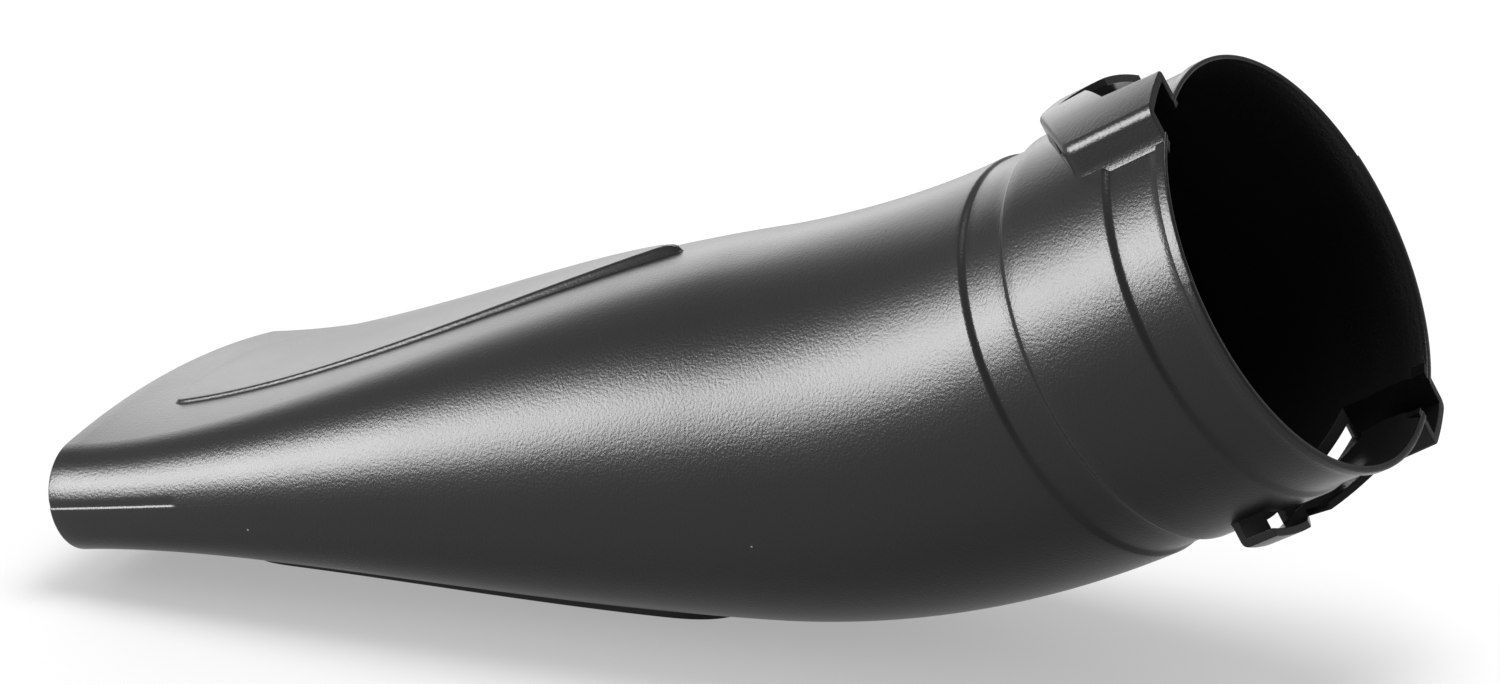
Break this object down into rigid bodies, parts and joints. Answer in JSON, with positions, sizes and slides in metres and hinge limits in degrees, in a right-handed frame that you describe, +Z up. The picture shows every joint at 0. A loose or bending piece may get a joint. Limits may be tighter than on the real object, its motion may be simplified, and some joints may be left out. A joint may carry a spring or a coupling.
{
  "type": "leaf blower nozzle tube",
  "caption": "Black moulded nozzle tube for a hand-held leaf blower: a round bayonet socket runs through a gentle bend into a wide, flat mouth with a raised panel on top.",
  "frame": {"origin": "middle of the tube's bounding box in plan, at the floor it lies on", "axes": "+X from the mouth towards the socket, +Y away from the viewer, +Z up"},
  "size_m": [0.3252, 0.11, 0.1425],
  "materials": {
    "tube_plastic": "satin black, fine moulded grain"
  },
  "bodies": {
    "root": {"nozzle_tube": "tube_plastic"}
  },
  "joints": []
}
